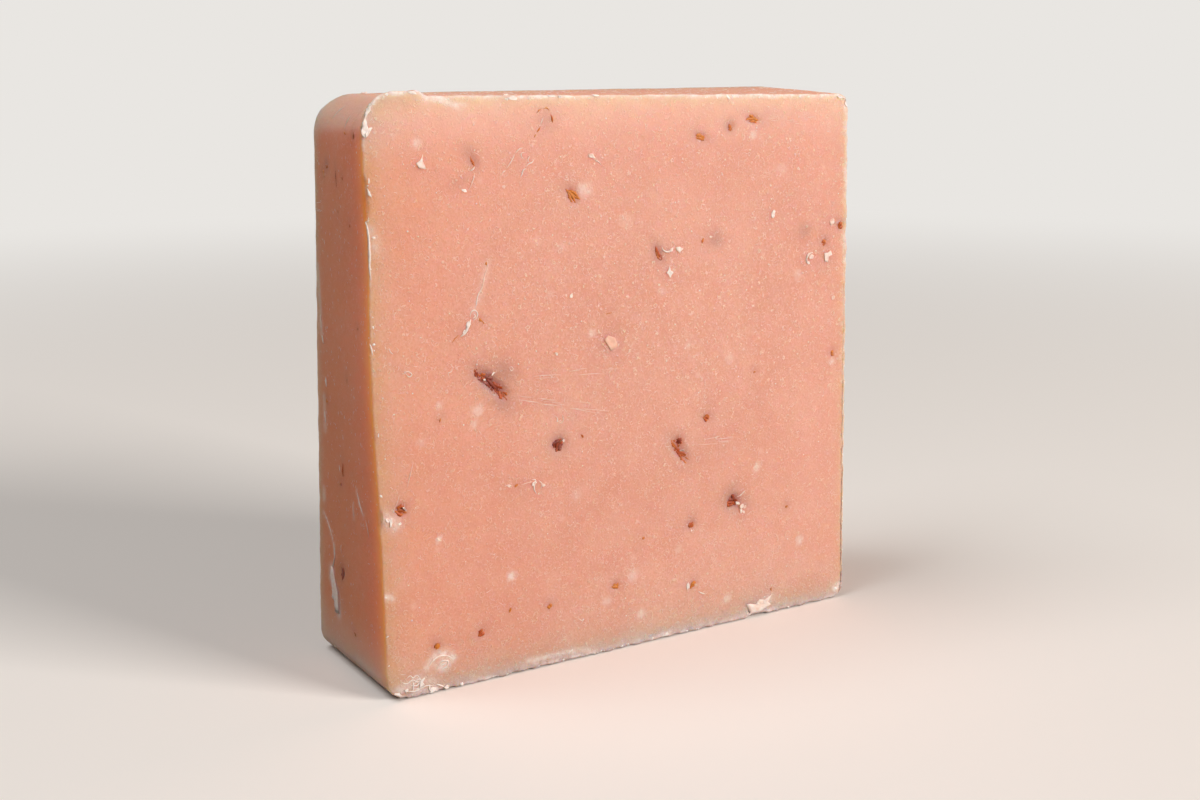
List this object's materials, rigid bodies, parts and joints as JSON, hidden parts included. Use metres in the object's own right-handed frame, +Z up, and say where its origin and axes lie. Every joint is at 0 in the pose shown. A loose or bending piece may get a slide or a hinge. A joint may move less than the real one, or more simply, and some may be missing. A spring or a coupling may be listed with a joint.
{
  "type": "bar of soap",
  "caption": "Hand-cut square bar of soap that stands on its narrow foot, with rounded corners, worn edges and small pits around petal flecks.",
  "frame": {"origin": "centre of the foot that the bar stands on", "axes": "+X along the wide cut face to the right, +Y from the cut face to the back, +Z up from the foot"},
  "size_m": [0.0706, 0.0214, 0.0709],
  "materials": {
    "soap": "pale salmon cold-process soap, waxy and slightly translucent, with brown petal flecks",
    "petal": "dried petal, brown and fibrous"
  },
  "bodies": {
    "root": {"soap_bar": "soap"}
  },
  "joints": []
}
